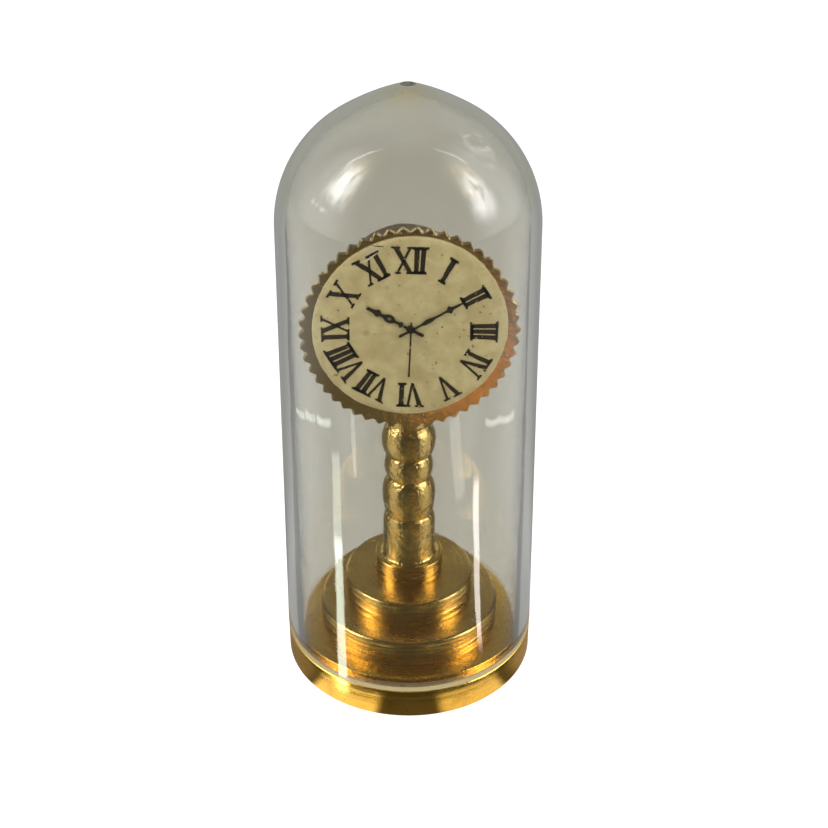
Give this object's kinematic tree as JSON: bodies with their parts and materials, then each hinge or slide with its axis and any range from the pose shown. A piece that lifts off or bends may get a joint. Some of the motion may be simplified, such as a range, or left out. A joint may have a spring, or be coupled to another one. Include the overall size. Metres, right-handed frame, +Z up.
{
  "type": "miniature dome clock",
  "caption": "Turned brass stand with stepped tiers and a beaded column carries a toothed round head with a paper dial and hands, under a clear lift-off dome with a pointed crown.",
  "frame": {"origin": "centre of the flange's underside, on the axis of the stand and the dome", "axes": "+Z up along the column's axis, -Y the way the dial faces, +X to the right as the dial is read"},
  "size_m": [0.0196, 0.0196, 0.0456],
  "materials": {
    "turned_brass": "turned, with fine lathe lines, lightly tarnished",
    "toothed_brass": "turned and cut, bright on the teeth",
    "screw_brass": "plain, slotted",
    "card": "aged cream paper, printed in black",
    "black_metal": "blackened, satin",
    "clear_plastic": "clear moulded, polished, slightly hazed"
  },
  "bodies": {
    "stand": {"base_flange": "turned_brass", "lower_tier": "turned_brass", "upper_tier": "turned_brass", "collar": "turned_brass", "column": "turned_brass", "base_screw": "screw_brass", "clock_head": "toothed_brass", "dial_card": "card"},
    "hour": {"hour_hand": "black_metal"},
    "minute": {"minute_hand": "black_metal"},
    "seconds": {"seconds_hand": "black_metal"},
    "cover": {"dome": "clear_plastic"}
  },
  "joints": [
    {"name": "dome_lift", "type": "slide", "parent": "stand", "child": "cover", "axis": [0, 0, 1], "range_m": [0, 0.05]},
    {"name": "hour_turn", "type": "hinge", "parent": "stand", "child": "hour", "pos_m": [0, -0.0028, 0.02937], "axis": [0, 1, 0], "continuous": true},
    {"name": "minute_turn", "type": "hinge", "parent": "stand", "child": "minute", "pos_m": [0, -0.0028, 0.02937], "axis": [0, 1, 0], "continuous": true},
    {"name": "seconds_turn", "type": "hinge", "parent": "stand", "child": "seconds", "pos_m": [0, -0.0028, 0.02937], "axis": [0, 1, 0], "continuous": true}
  ]
}
